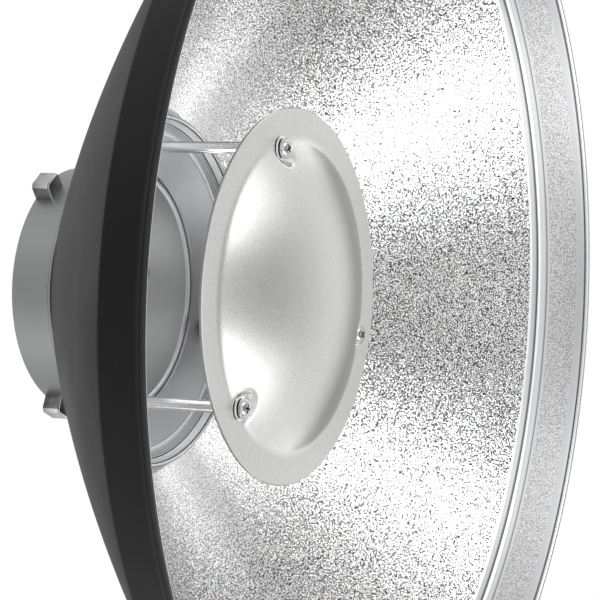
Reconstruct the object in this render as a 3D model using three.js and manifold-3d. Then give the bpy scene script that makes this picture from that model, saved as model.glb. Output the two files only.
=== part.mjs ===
// A studio flash reflector dish, of the kind called a beauty dish: a wide spun aluminium bowl with a
// bayonet collar at the back, and a domed deflector held on three rods in front of the collar.
//
// Millimetres. The dish's axis is the Y axis and its open side faces -Y. +Z is up. The origin is the
// centre of the collar's flat rear face. A "station" is a distance forward of that face, so a point
// at station s has y = -s. Clock angles go round the axis from +X towards +Z.

import * as THREE from 'three';
import { mergeVertices } from 'three/addons/utils/BufferGeometryUtils.js';
import Module from 'manifold-3d';

const wasm = await Module();
wasm.setup();

// Driving dimensions.
const GAP = 0.3;                    // air between touching pieces
const RIM_RADIUS = 210;             // the dish is 420 mm across
const RIM_STATION = 155.5;          // overall depth
const SHEET = 1.5;                  // the dish's and deflector's sheet

const HEM_RADIUS = 1.7;             // rolled bead round the rim
const BOWL_EDGE = [196.2, 129.6];   // radius and station where the bowl meets the rim band
const BAND_END = [207.8, 150.4];    // and where the rim band meets the hem
const RIM_STEPS = [[196, 131.5], [197, 134.4], [198, 135.3], [199, 137.2], [199.6, 138.5]];
const BAND_INSIDE_END = [206.3, 151];
const NECK = [52.3, 19.8];          // radius and station of the dish's rear hole

const COLLAR_BORE = 48.5;
const COLLAR_RADIUS = 51;
const COLLAR_FRONT = 27;            // station of the collar's front end
const SHOULDER_RADIUS = 52.5;       // bead on the collar that the dish's neck seats against
const SHOULDER_WIDTH = 1.5;

const LUG_WIDTH = 10.4;
const LUG_LENGTH = 8;
const LUG_HEIGHT = 6.4;
const LUG_REAR = 0.5;
const LUG_CHAMFER = 1.4;
const LUG_ANGLES = [124, 244, 4];
const LUG_SCREW_RADIUS = 1.6;
const LUG_SCREW_HEAD = 3;
const LUG_SCREW_REACH = 4.2;        // how far the screw goes into the lug
const COUNTERSINK_DEPTH = 1.5;

const LIP_RADIUS = 74.3;            // raised outer lip of the clamp ring
const LIP_STATION = 41.5;
const FACE_OUTER = [67.5, 34.6];    // outer end of the clamp ring's shallow funnel face
const FACE_INNER_STATION = 28;
const BOSS_RADIUS = 5;
const BOSS_STATION = 37;
const ROD_HOLE_STATION = 32.6;

const ROD_RING_RADIUS = 62;         // the rods and deflector screws stand on this circle
const ROD_ANGLES = [100.5, 220.5, 340.5];
const ROD_RADIUS = 2.5;
const ROD_BORE = 1.7;
const ROD_BORE_DEPTH = 11;
const NUT_ACROSS_FLATS = 8;
const NUT_HEIGHT = 3.2;

const DEFLECTOR_RADIUS = 77.3;
const DEFLECTOR_STATION = 103.6;    // front face of its flat flange
const DOME_RADIUS = 64.6;
const DOME_HEIGHT = 16;
const DOME_STEPS = 8;
const PAD_RADIUS = 5.6;             // flat pressed in the dome's edge under each washer
const DEFLECTOR_HOLE = 2;

const WASHER_RADIUS = 5;
const WASHER_THICKNESS = 0.8;
const WASHER_HOLE = 1.9;
const SCREW_HEAD_RADIUS = 4.2;
const SCREW_HEAD_HEIGHT = 2.5;
const SCREW_SHANK = 1.3;
const SCREW_LENGTH = 13;
const RECESS_SPAN = 4.4;
const RECESS_WIDTH = 1;
const RECESS_DEPTH = 1.3;

const DISH_SEGMENTS = 64;
const RING_SEGMENTS = 48;
const SMALL_SEGMENTS = 20;

const finishes = {
  satinBlack: { color: 0x2b2b2c, roughness: 0.45, metalness: 0.1 },
  satinAluminium: { color: 0xa3a4a6, roughness: 0.4, metalness: 0.9 },
  turnedAluminium: { color: 0x9c9da0, roughness: 0.35, metalness: 0.9 },
  frostedSilver: { color: 0xd2d2cf, roughness: 0.5, metalness: 0.8 },
  steel: { color: 0x6f7072, roughness: 0.4, metalness: 0.9 },
  chrome: { color: 0xd8dadc, roughness: 0.12, metalness: 1 },
};

const group = new THREE.Group();

function piece(name, geometry, finish) {
  const mesh = new THREE.Mesh(geometry, new THREE.MeshStandardMaterial(finishes[finish]));
  mesh.name = name;
  group.add(mesh);
  return mesh;
}

// A point on a circle about the dish's axis.
function onCircle(radius, degrees, station) {
  const angle = THREE.MathUtils.degToRad(degrees);
  return new THREE.Vector3(radius * Math.cos(angle), -station, radius * Math.sin(angle));
}

// A solid turned about the Y axis from an outline of [radius, station] points. An outline that
// doesn't start and end on the axis closes on itself.
function turned(outline, segments) {
  const points = outline.map(([radius, station]) => new THREE.Vector2(radius, -station));
  if (THREE.ShapeUtils.area(points) < 0) points.reverse();
  const startsOnAxis = points[0].x === 0 && points[points.length - 1].x === 0;
  if (!startsOnAxis) points.push(points[0].clone());
  return new THREE.LatheGeometry(points, segments);
}

function disc(radius, fromStation, toStation, segments = SMALL_SEGMENTS) {
  const outline = [[0, fromStation], [radius, fromStation], [radius, toStation], [0, toStation]];
  return turned(outline, segments);
}

function ring(outer, inner, fromStation, toStation, segments = SMALL_SEGMENTS) {
  const outline = [
    [inner, fromStation], [outer, fromStation], [outer, toStation], [inner, toStation],
  ];
  return turned(outline, segments);
}

function toSolid(geometry) {
  const bare = geometry.clone();
  bare.deleteAttribute('normal');
  bare.deleteAttribute('uv');
  const merged = mergeVertices(bare, 1e-4);
  const vertProperties = Float32Array.from(merged.attributes.position.array);
  const triVerts = Uint32Array.from(merged.index.array);
  return new wasm.Manifold(new wasm.Mesh({ numProp: 3, vertProperties, triVerts }));
}

function toGeometry(solid) {
  const mesh = solid.getMesh();
  const geometry = new THREE.BufferGeometry();
  geometry.setAttribute('position', new THREE.BufferAttribute(mesh.vertProperties, 3));
  geometry.setIndex(new THREE.BufferAttribute(mesh.triVerts, 1));
  geometry.computeVertexNormals();
  return geometry;
}

// Points of an arc in the outline's plane, angles in degrees from the radial direction forward.
function arc(centre, radius, from, to, steps) {
  const points = [];
  for (let i = 0; i <= steps; i += 1) {
    const angle = THREE.MathUtils.degToRad(from + (to - from) * i / steps);
    points.push([centre[0] + radius * Math.cos(angle), centre[1] + radius * Math.sin(angle)]);
  }
  return points;
}

// The line that runs beside a path at a constant distance, on the side of the axis.
function beside(path, distance) {
  const point = (i) => new THREE.Vector2(...path[THREE.MathUtils.clamp(i, 0, path.length - 1)]);
  return path.map((_, i) => {
    const before = point(i).sub(point(i - 1));
    const after = point(i + 1).sub(point(i));
    if (i === 0) before.copy(after);
    if (i === path.length - 1) after.copy(before);
    const normals = [before, after].map((step) => new THREE.Vector2(-step.y, step.x).normalize());
    const mitre = 1 + normals[0].dot(normals[1]);
    const shift = normals[0].add(normals[1]).multiplyScalar(distance / mitre);
    return [path[i][0] + shift.x, path[i][1] + shift.y];
  });
}

// The dish: a nearly conical bowl, a rim band with small steps inside and a rolled hem, in one
// spun sheet.
const BOWL_NECK_SLOPE = 1.58;       // radius gained per station at the neck
const BOWL_EDGE_SLOPE = 1.03;       // and at the rim band
const BOWL_HANDLE = 36;             // stations that each end's slope reaches over
const BOWL_STEPS = 9;
const HEM_STEPS = 9;

function bowlPath(steps) {
  const neck = new THREE.Vector2(...NECK);
  const edge = new THREE.Vector2(...BOWL_EDGE);
  const handle = (slope) => new THREE.Vector2(slope, 1).multiplyScalar(BOWL_HANDLE);
  const nearNeck = neck.clone().add(handle(BOWL_NECK_SLOPE));
  const nearEdge = edge.clone().sub(handle(BOWL_EDGE_SLOPE));
  const curve = new THREE.CubicBezierCurve(neck, nearNeck, nearEdge, edge);
  return curve.getSpacedPoints(steps).map((point) => [point.x, point.y]);
}

function dishShell() {
  const bowl = bowlPath(BOWL_STEPS);
  const hemCentre = [RIM_RADIUS - HEM_RADIUS, RIM_STATION - HEM_RADIUS];
  const hem = arc(hemCentre, HEM_RADIUS, -60, 210, HEM_STEPS);
  const inside = [...beside(bowl, SHEET), ...RIM_STEPS, BAND_INSIDE_END].reverse();
  return turned([...bowl, BAND_END, ...hem, ...inside], DISH_SEGMENTS);
}

piece('dish_shell', dishShell(), 'satinBlack');

const LUG_BASE = COLLAR_RADIUS + GAP;
const LUG_SCREW_FACE = COLLAR_BORE + 0.1;
const LUG_SCREW_END = LUG_BASE + LUG_SCREW_REACH;
const LUG_MIDDLE = LUG_REAR + LUG_LENGTH / 2;

// The countersunk screw that holds a lug, pointing outward along +X, grown by a clearance to cut
// its hole.
function lugScrewShape(clearance) {
  const face = LUG_SCREW_FACE - clearance;
  const neckAt = LUG_SCREW_FACE + COUNTERSINK_DEPTH;
  const end = LUG_SCREW_END + clearance;
  const shape = turned([
    [0, -face], [LUG_SCREW_HEAD + clearance, -face], [LUG_SCREW_RADIUS + clearance, -neckAt],
    [LUG_SCREW_RADIUS + clearance, -end], [0, -end],
  ], SMALL_SEGMENTS);
  return shape.rotateZ(-Math.PI / 2);
}

function cutForLugScrews(solid) {
  let cut = solid;
  for (const degrees of LUG_ANGLES) {
    const hole = lugScrewShape(GAP);
    hole.rotateY(-THREE.MathUtils.degToRad(degrees));
    hole.translate(0, -LUG_MIDDLE, 0);
    cut = cut.subtract(toSolid(hole));
  }
  return cut;
}

// The mount collar: a turned tube with a small shoulder bead, threaded at its front end.
function mountCollar() {
  const shoulderFront = NECK[1] - GAP;
  const tube = turned([
    [COLLAR_BORE + 0.5, 0], [COLLAR_RADIUS - 0.5, 0], [COLLAR_RADIUS, 0.5],
    [COLLAR_RADIUS, shoulderFront - SHOULDER_WIDTH],
    [SHOULDER_RADIUS, shoulderFront - SHOULDER_WIDTH + 0.3],
    [SHOULDER_RADIUS, shoulderFront], [COLLAR_RADIUS, shoulderFront],
    [COLLAR_RADIUS, COLLAR_FRONT], [COLLAR_BORE + 1, COLLAR_FRONT],
    [COLLAR_BORE, COLLAR_FRONT - 0.8], [COLLAR_BORE, 0.5],
  ], RING_SEGMENTS);
  return toGeometry(cutForLugScrews(toSolid(tube)));
}

piece('mount_collar', mountCollar(), 'satinAluminium');

// Three bayonet lugs: chamfered blocks that stand on the collar and are screwed from its bore.
function lug() {
  const half = LUG_WIDTH / 2;
  const outline = new THREE.Shape();
  outline.moveTo(-half, LUG_BASE);
  outline.lineTo(half, LUG_BASE);
  outline.lineTo(half, LUG_BASE + LUG_HEIGHT - LUG_CHAMFER);
  outline.lineTo(half - LUG_CHAMFER, LUG_BASE + LUG_HEIGHT);
  outline.lineTo(-half + LUG_CHAMFER, LUG_BASE + LUG_HEIGHT);
  outline.lineTo(-half, LUG_BASE + LUG_HEIGHT - LUG_CHAMFER);
  const bevel = 0.6;
  const block = new THREE.ExtrudeGeometry(outline, {
    depth: LUG_LENGTH - 2 * bevel, bevelSize: bevel, bevelThickness: bevel, bevelOffset: -bevel,
    bevelSegments: 1,
  });
  // The outline's Y becomes the outward direction +X, and the extrusion runs forward.
  block.rotateZ(-Math.PI / 2);
  block.rotateX(Math.PI / 2);
  block.translate(0, -LUG_REAR - bevel, 0);
  const hole = lugScrewShape(GAP);
  hole.translate(0, -LUG_MIDDLE, 0);
  const seat = disc(COLLAR_RADIUS + GAP, -1, LUG_LENGTH + 2, RING_SEGMENTS * 3);
  return toGeometry(toSolid(block).subtract(toSolid(hole)).subtract(toSolid(seat)));
}

function lugScrew() {
  const screw = toSolid(lugScrewShape(0));
  const slot = new THREE.BoxGeometry(1.6, RECESS_WIDTH * 0.8, 3.4);
  slot.translate(COLLAR_BORE, 0, 0);
  const cross = slot.clone().rotateX(Math.PI / 2);
  return toGeometry(screw.subtract(toSolid(slot)).subtract(toSolid(cross)));
}

LUG_ANGLES.forEach((degrees, index) => {
  const block = piece(`bayonet_lug_${index + 1}`, lug(), 'steel');
  block.rotation.y = -THREE.MathUtils.degToRad(degrees);
  const screw = piece(`lug_screw_${index + 1}`, lugScrew(), 'chrome');
  screw.rotation.y = -THREE.MathUtils.degToRad(degrees);
  screw.position.y = -LUG_MIDDLE;
});

// The clamp ring: screwed onto the collar's front end, it traps the dish's neck against the
// shoulder. It has a raised lip, a turned band, a shallow funnel face and a boss for each rod.
function clampRing() {
  const bore = COLLAR_RADIUS + GAP;
  const seat = beside(bowlPath(BOWL_STEPS), SHEET + GAP + 0.1);
  const seatAt = (radius) => {
    const next = Math.max(1, seat.findIndex((point) => point[0] > radius));
    const [from, to] = [seat[next - 1], seat[next]];
    return from[1] + (radius - from[0]) * (to[1] - from[1]) / (to[0] - from[0]);
  };
  const bandInner = [FACE_OUTER[0] + 0.9, FACE_OUTER[1] + 1];
  const bandOuter = [LIP_RADIUS - 2, LIP_STATION - 3.9];
  const body = turned([
    [bore, seatAt(bore)], [LIP_RADIUS, seatAt(LIP_RADIUS)],
    [LIP_RADIUS, LIP_STATION - 0.4], [LIP_RADIUS - 0.4, LIP_STATION],
    [LIP_RADIUS - 1.2, LIP_STATION], [bandOuter[0], LIP_STATION - 0.8],
    bandOuter, bandInner, FACE_OUTER, [bore + 0.5, FACE_INNER_STATION], [bore, FACE_INNER_STATION - 0.5],
  ], RING_SEGMENTS);
  const aheadOfSeat = toSolid(turned([
    [bore, seatAt(bore)], [LIP_RADIUS, seatAt(LIP_RADIUS)],
    [LIP_RADIUS, BOSS_STATION], [bore, BOSS_STATION],
  ], RING_SEGMENTS));
  let solid = toSolid(body);
  for (const degrees of ROD_ANGLES) {
    const at = onCircle(ROD_RING_RADIUS, degrees, 0);
    const boss = disc(BOSS_RADIUS, 0, BOSS_STATION).translate(at.x, 0, at.z);
    const hole = disc(ROD_RADIUS + GAP, ROD_HOLE_STATION, BOSS_STATION + 5).translate(at.x, 0, at.z);
    solid = solid.add(toSolid(boss).intersect(aheadOfSeat)).subtract(toSolid(hole));
  }
  return toGeometry(solid);
}

piece('clamp_ring', clampRing(), 'turnedAluminium');

// The deflector: a flat flange and a shallow dome, with a small flat pressed at each screw.
const FLANGE_REAR = DEFLECTOR_STATION - SHEET;
const DOME_SPHERE = (DOME_RADIUS ** 2 + DOME_HEIGHT ** 2) / (2 * DOME_HEIGHT);
const DOME_CENTRE = DEFLECTOR_STATION + DOME_HEIGHT - DOME_SPHERE;

function capAngle(radius, sphere) {
  return THREE.MathUtils.radToDeg(Math.acos(radius / sphere));
}

function deflector() {
  const outer = arc([0, DOME_CENTRE], DOME_SPHERE, capAngle(DOME_RADIUS, DOME_SPHERE), 90, DOME_STEPS);
  const innerSphere = DOME_SPHERE - SHEET;
  const innerEdge = Math.sqrt(innerSphere ** 2 - (FLANGE_REAR - DOME_CENTRE) ** 2);
  const innerFoot = capAngle(innerEdge, innerSphere);
  const inner = arc([0, DOME_CENTRE], innerSphere, 90, innerFoot, DOME_STEPS);
  outer[DOME_STEPS] = [0, outer[DOME_STEPS][1]];
  inner[0] = [0, inner[0][1]];
  const sheet = turned([
    ...inner, [DEFLECTOR_RADIUS - 0.4, FLANGE_REAR], [DEFLECTOR_RADIUS, FLANGE_REAR + 0.4],
    [DEFLECTOR_RADIUS, DEFLECTOR_STATION - 0.4], [DEFLECTOR_RADIUS - 0.4, DEFLECTOR_STATION],
    ...outer,
  ], RING_SEGMENTS);
  const filled = toSolid(turned([[0, FLANGE_REAR], [DOME_RADIUS, FLANGE_REAR], ...outer], RING_SEGMENTS));
  let solid = toSolid(sheet);
  for (const degrees of ROD_ANGLES) {
    const at = onCircle(ROD_RING_RADIUS, degrees, 0);
    const column = (radius, from) => toSolid(
      disc(radius, from, DEFLECTOR_STATION + DOME_HEIGHT).translate(at.x, 0, at.z));
    solid = solid.add(filled.intersect(column(PAD_RADIUS + SHEET, FLANGE_REAR)));
    solid = solid.subtract(column(PAD_RADIUS, DEFLECTOR_STATION));
    solid = solid.subtract(column(DEFLECTOR_HOLE, FLANGE_REAR - 1));
  }
  return toGeometry(solid);
}

piece('deflector', deflector(), 'frostedSilver');

// Three rods, each with a lock nut at its foot, and the screw and washers that hold the deflector.
const REAR_WASHER = FLANGE_REAR - GAP - WASHER_THICKNESS;
const FRONT_WASHER = DEFLECTOR_STATION + GAP;
const ROD_END = REAR_WASHER - GAP;
const HEAD_STATION = FRONT_WASHER + WASHER_THICKNESS + GAP;
const NUT_STATION = BOSS_STATION + GAP;

function rod() {
  const foot = ROD_HOLE_STATION + GAP;
  const chamfer = 0.4;
  return turned([
    [0, foot], [ROD_RADIUS - chamfer, foot], [ROD_RADIUS, foot + chamfer],
    [ROD_RADIUS, ROD_END - chamfer], [ROD_RADIUS - chamfer, ROD_END], [ROD_BORE, ROD_END],
    [ROD_BORE, ROD_END - ROD_BORE_DEPTH], [0, ROD_END - ROD_BORE_DEPTH],
  ], SMALL_SEGMENTS);
}

function nut() {
  const cornerRadius = NUT_ACROSS_FLATS / Math.sqrt(3);
  const hexagon = new THREE.CylinderGeometry(cornerRadius, cornerRadius, NUT_HEIGHT, 6);
  hexagon.translate(0, -NUT_STATION - NUT_HEIGHT / 2, 0);
  const hole = disc(ROD_RADIUS + GAP, NUT_STATION - 1, NUT_STATION + NUT_HEIGHT + 1);
  return toGeometry(toSolid(hexagon).subtract(toSolid(hole)));
}

function deflectorScrew() {
  const brow = SCREW_HEAD_HEIGHT * 0.45;
  const crown = SCREW_HEAD_HEIGHT * 0.85;
  const body = toSolid(turned([
    [0, HEAD_STATION - SCREW_LENGTH], [SCREW_SHANK, HEAD_STATION - SCREW_LENGTH],
    [SCREW_SHANK, HEAD_STATION], [SCREW_HEAD_RADIUS, HEAD_STATION],
    [SCREW_HEAD_RADIUS, HEAD_STATION + brow], [SCREW_HEAD_RADIUS * 0.78, HEAD_STATION + crown],
    [SCREW_HEAD_RADIUS * 0.4, HEAD_STATION + SCREW_HEAD_HEIGHT],
    [0, HEAD_STATION + SCREW_HEAD_HEIGHT],
  ], SMALL_SEGMENTS));
  const bar = new THREE.BoxGeometry(RECESS_SPAN, 2 * RECESS_DEPTH, RECESS_WIDTH);
  bar.translate(0, -HEAD_STATION - SCREW_HEAD_HEIGHT, 0);
  const cross = bar.clone().rotateY(Math.PI / 2);
  return toGeometry(body.subtract(toSolid(bar)).subtract(toSolid(cross)));
}

ROD_ANGLES.forEach((degrees, index) => {
  const number = index + 1;
  const rearWasher = ring(WASHER_RADIUS, WASHER_HOLE, REAR_WASHER, REAR_WASHER + WASHER_THICKNESS);
  const frontWasher = ring(WASHER_RADIUS, WASHER_HOLE, FRONT_WASHER, FRONT_WASHER + WASHER_THICKNESS);
  const set = [
    piece(`deflector_rod_${number}`, rod(), 'chrome'),
    piece(`rod_nut_${number}`, nut(), 'steel'),
    piece(`rear_washer_${number}`, rearWasher, 'steel'),
    piece(`front_washer_${number}`, frontWasher, 'chrome'),
    piece(`deflector_screw_${number}`, deflectorScrew(), 'chrome'),
  ];
  for (const member of set) member.position.copy(onCircle(ROD_RING_RADIUS, degrees, 0));
});

export default group;
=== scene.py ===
"""Studio flash reflector dish: the visual model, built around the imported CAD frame.

Lengths are in millimetres until a mesh is made, and metres in Blender. The dish's axis is the Y
axis, its open side faces -Y, and the origin is the centre of the collar's rear face. A "station" is
a distance forward of that face, so station s is at y = -s. Clock angles go from +X towards +Z.
"""
import math

import bmesh
import bpy
from mathutils import Matrix, Vector

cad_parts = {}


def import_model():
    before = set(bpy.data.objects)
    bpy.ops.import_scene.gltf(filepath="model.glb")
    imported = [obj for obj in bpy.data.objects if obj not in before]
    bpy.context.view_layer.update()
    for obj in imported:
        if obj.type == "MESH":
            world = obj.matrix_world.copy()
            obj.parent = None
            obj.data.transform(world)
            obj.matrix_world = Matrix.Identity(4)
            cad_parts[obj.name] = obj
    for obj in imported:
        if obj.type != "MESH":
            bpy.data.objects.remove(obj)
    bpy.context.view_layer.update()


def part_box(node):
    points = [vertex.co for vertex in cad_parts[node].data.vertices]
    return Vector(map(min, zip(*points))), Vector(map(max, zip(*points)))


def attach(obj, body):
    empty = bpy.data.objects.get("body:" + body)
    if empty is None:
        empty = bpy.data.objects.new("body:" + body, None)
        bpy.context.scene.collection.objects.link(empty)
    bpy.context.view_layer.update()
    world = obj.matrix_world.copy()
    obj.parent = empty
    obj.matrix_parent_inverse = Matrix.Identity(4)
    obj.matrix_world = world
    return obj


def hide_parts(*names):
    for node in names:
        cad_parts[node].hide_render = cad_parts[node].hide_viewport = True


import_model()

MM = 0.001
SHEET = 1.5
NUMBERS = (1, 2, 3)
DISH_STEPS = 288
RING_STEPS = 192
SMALL_STEPS = 48
SHARP = math.radians(32)
BEVEL_FROM = math.radians(50)


def span(node):
    """A CAD node's box in millimetres: lowest corner, highest corner."""
    low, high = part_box(node)
    return low / MM, high / MM


def stations(node):
    """The stations of a CAD node's rear and front."""
    low, high = span(node)
    return -high.y, -low.y


def node_centre(node):
    low, high = span(node)
    return (low + high) / 2


RIM_RADIUS = span("dish_shell")[1].x
RIM_STATION = stations("dish_shell")[1]
COLLAR_FRONT = stations("mount_collar")[1]
LIP_RADIUS = span("clamp_ring")[1].x
LIP_STATION = stations("clamp_ring")[1]
DEFLECTOR_RADIUS = span("deflector")[1].x
FLANGE_REAR, DOME_TOP = stations("deflector")
FLANGE_FRONT = FLANGE_REAR + SHEET
ROD_CENTRES = [node_centre(f"deflector_rod_{i}") for i in NUMBERS]
LUG_ANGLES = [math.atan2(c.z, c.x) for c in (node_centre(f"bayonet_lug_{i}") for i in NUMBERS)]


# ---------------------------------------------------------------- materials

WHITE = (1.0, 1.0, 1.0)
# The sockets of a Mix node in colour mode.
MIX_FACTOR, MIX_A, MIX_B, MIX_RESULT = 0, 6, 7, 2


def cool_grey(level, blue=1.01):
    return (level, level, level * blue)


class Graph:
    """A short way to write a node tree."""

    def __init__(self, tree):
        self.tree = tree

    def feed(self, socket, value):
        """Links another node's output into a socket, or sets a constant on it."""
        if isinstance(value, bpy.types.NodeSocket):
            self.tree.links.new(value, socket)
        elif socket.type == "RGBA":
            socket.default_value = (*value, 1)
        else:
            socket.default_value = value

    def add(self, kind, links=None, **settings):
        node = self.tree.nodes.new(kind)
        for key, value in settings.items():
            setattr(node, key, value)
        for socket, value in (links or {}).items():
            self.feed(node.inputs[socket], value)
        return node

    def maths(self, operation, a, b=0.0):
        return self.add("ShaderNodeMath", {0: a, 1: b}, operation=operation).outputs[0]

    def vectors(self, operation, a, b=(0.0, 0.0, 0.0)):
        return self.add("ShaderNodeVectorMath", {0: a, 1: b}, operation=operation).outputs[0]


class Finish(Graph):
    """A procedural material: a graph that feeds one Principled shader."""

    def __init__(self, name):
        self.material = bpy.data.materials.new(name)
        self.material.use_nodes = True
        super().__init__(self.material.node_tree)
        self.place = self.add("ShaderNodeTexCoord").outputs["Object"]

    def noise(self, scale, detail, roughness=0.5, place=None):
        links = {"Vector": place or self.place, "Scale": scale, "Detail": detail,
                 "Roughness": roughness}
        return self.add("ShaderNodeTexNoise", links).outputs["Fac"]

    def spread(self, value, low, high, to_low=0.0, to_high=1.0):
        """Carries the range low to high over to another range, and clamps to it."""
        links = {"Value": value, "From Min": low, "From Max": high, "To Min": to_low,
                 "To Max": to_high}
        return self.add("ShaderNodeMapRange", links).outputs["Result"]

    def mix(self, factor, a, b, blend="MIX"):
        links = {MIX_FACTOR: factor, MIX_A: a, MIX_B: b}
        node = self.add("ShaderNodeMix", links, data_type="RGBA", blend_type=blend)
        return node.outputs[MIX_RESULT]

    def ramp(self, value, stops):
        """Grey levels along a value: stops holds (position, level) rows, positions rising."""
        low, high = stops[0][0], stops[-1][0]
        node = self.add("ShaderNodeValToRGB", {0: self.spread(value, low, high)})
        elements = node.color_ramp.elements
        while len(elements) < len(stops):
            elements.new(0.5)
        for element, (position, level) in zip(elements, stops):
            element.position = (position - low) / (high - low)
            element.color = (*cool_grey(level), 1)
        return node.outputs["Color"]

    def axes(self):
        """The X, Y and Z of a surface point, in metres."""
        return self.add("ShaderNodeSeparateXYZ", {0: self.place}).outputs

    def axis_radius(self):
        """Distance from the dish's axis, in metres."""
        axes = self.axes()
        x = self.maths("POWER", axes["X"], 2.0)
        z = self.maths("POWER", axes["Z"], 2.0)
        return self.maths("SQRT", self.maths("ADD", x, z))

    def turned_lines(self, along, pitch):
        """Fine concentric tool marks: noise that changes only with one coordinate."""
        place = self.add("ShaderNodeCombineXYZ", {"X": along}).outputs[0]
        return self.noise(1 / pitch, 3.0, 0.7, place)

    def bump(self, height, distance, strength, normal=None):
        links = {"Height": height, "Distance": distance, "Strength": strength}
        if normal is not None:
            links["Normal"] = normal
        return self.add("ShaderNodeBump", links).outputs["Normal"]

    def surface(self, color, metal, rough, normal=None):
        """Feeds the shader and returns the material."""
        inputs = self.tree.nodes["Principled BSDF"].inputs
        self.feed(inputs["Base Color"], color)
        self.feed(inputs["Metallic"], metal)
        self.feed(inputs["Roughness"], rough)
        if normal is not None:
            self.feed(inputs["Normal"], normal)
        return self.material


def black_paint():
    """Satin black powder coat: a fine orange peel, dust-fine flecks and slightly uneven gloss."""
    n = Finish("satin_black_paint")
    peel = n.noise(1400, 2.0)
    cloud = n.noise(14, 3.0, 0.55)
    fleck = n.spread(n.noise(2600, 1.0), 0.62, 0.72)
    base = n.mix(cloud, (0.006, 0.006, 0.0062), (0.010, 0.0098, 0.0095))
    color = n.mix(n.maths("MULTIPLY", fleck, 0.25), base, (0.05, 0.05, 0.05))
    gloss = n.spread(cloud, 0.3, 0.7, 0.36, 0.43)
    rough = n.maths("ADD", gloss, n.spread(peel, 0, 1, -0.02, 0.02))
    return n.surface(color, 0.0, rough, n.bump(peel, 0.00004, 0.35))


DIMPLES_PER_METRE = 1850.0
# The pebbling grows from a faint trace at the first radius to full strength at the second, in
# metres from the dish's axis.
NECK_FADE = (0.065, 0.125)
NECK_TRACE = 0.2


def grained_silver(name, tilt, crest_painted_shade):
    """Silver finish pebbled with dimples under a millimetre across, each facing its own way."""
    n = Finish(name)
    dimples = n.add("ShaderNodeTexVoronoi", {"Vector": n.place, "Scale": DIMPLES_PER_METRE})
    cloud = n.noise(9, 3.0, 0.6)
    facing = n.add("ShaderNodeTexCoord").outputs["Normal"]
    lean = n.vectors("SUBTRACT", dimples.outputs["Color"], (0.5, 0.5, 0.5))
    fade = n.spread(n.axis_radius(), *NECK_FADE, NECK_TRACE, 1.0)
    amount = n.maths("MULTIPLY", fade, tilt)
    lean = n.add("ShaderNodeVectorMath", {0: lean, "Scale": amount}, operation="SCALE").outputs[0]
    tilted = n.vectors("NORMALIZE", n.vectors("ADD", facing, lean))
    normal = n.add("ShaderNodeVectorTransform", {0: tilted}, vector_type="NORMAL",
                   convert_from="OBJECT", convert_to="WORLD").outputs[0]
    # Painted shade: the colour darkens towards each dimple's edge, standing in for the dark
    # reflections and shade of the pebbling.
    crest = n.maths("MULTIPLY", n.spread(dimples.outputs["Distance"], 0.36, 0.62), fade)
    color = n.mix(crest, WHITE, cool_grey(crest_painted_shade, blue=1.02))
    rough = n.spread(cloud, 0.3, 0.7, 0.12, 0.16)
    return n.surface(color, 1.0, rough, normal)


# Painted light and shade of the rim's turned steps and lip: the dark stops paint shade into the
# corners of the steps and at the hem, and the brightest stops paint highlights on the beads. The
# first number is radius plus station in millimetres, which rises steadily from the bowl's edge to
# the hem.
RIM_LIGHT_AND_SHADE = (
    (325.6, 0.96), (329.4, 0.90), (330.2, 0.30), (330.9, 0.08), (331.2, 0.96), (332.5, 1.00),
    (332.9, 0.56), (333.3, 0.86), (334.5, 0.90), (334.9, 1.00), (335.4, 0.90), (336.3, 0.82),
    (336.6, 0.34), (337.0, 0.34), (337.4, 0.88), (356.0, 0.80), (358.0, 0.80), (360.2, 0.90),
    (360.6, 0.10), (361.2, 0.10), (361.6, 0.92), (364.0, 0.88),
)


def smooth_silver():
    """The rim's steps and lip: painted highlights on the beads, painted shade in the corners, and
    faint marks round the axis.
    """
    n = Finish("burnished_silver")
    radius = n.axis_radius()
    across = n.maths("SUBTRACT", radius, n.axes()["Y"])
    # Painted highlights and shade across the steps, from the table above.
    shade = n.ramp(n.maths("DIVIDE", across, MM), RIM_LIGHT_AND_SHADE)
    lines = n.turned_lines(radius, 0.0007)
    tint = n.mix(n.noise(30, 2.0), (0.90, 0.91, 0.93), WHITE)
    color = n.mix(1.0, shade, tint, "MULTIPLY")
    rough = n.spread(lines, 0.3, 0.7, 0.2, 0.32)
    return n.surface(color, 1.0, rough, n.bump(lines, 0.00006, 0.4))


def satin_aluminium():
    """Bead-blasted and clear-anodised aluminium of the collar, with faint lathe lines."""
    n = Finish("satin_aluminium")
    lines = n.turned_lines(n.axes()["Y"], 0.0006)
    blast = n.noise(2600, 2.0, 0.6)
    color = n.mix(n.noise(22, 3.0, 0.6), (0.50, 0.505, 0.51), (0.60, 0.605, 0.61))
    gloss = n.spread(blast, 0.2, 0.8, 0.34, 0.44)
    rough = n.maths("ADD", gloss, n.spread(lines, 0, 1, -0.03, 0.03))
    fine = n.bump(blast, 0.00005, 0.5)
    return n.surface(color, 1.0, rough, n.bump(lines, 0.00003, 0.3, fine))


def turned_aluminium():
    """Turned clamp ring with visible concentric tool marks."""
    n = Finish("turned_aluminium")
    lines = n.turned_lines(n.axis_radius(), 0.00045)
    blast = n.noise(2200, 1.0)
    color = n.mix(n.noise(26, 2.0), (0.47, 0.48, 0.495), (0.56, 0.565, 0.58))
    gloss = n.spread(lines, 0.3, 0.7, 0.26, 0.38)
    rough = n.maths("ADD", gloss, n.spread(blast, 0, 1, -0.03, 0.03))
    fine = n.bump(blast, 0.00003, 0.4)
    return n.surface(color, 1.0, rough, n.bump(lines, 0.00007, 0.5, fine))


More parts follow.
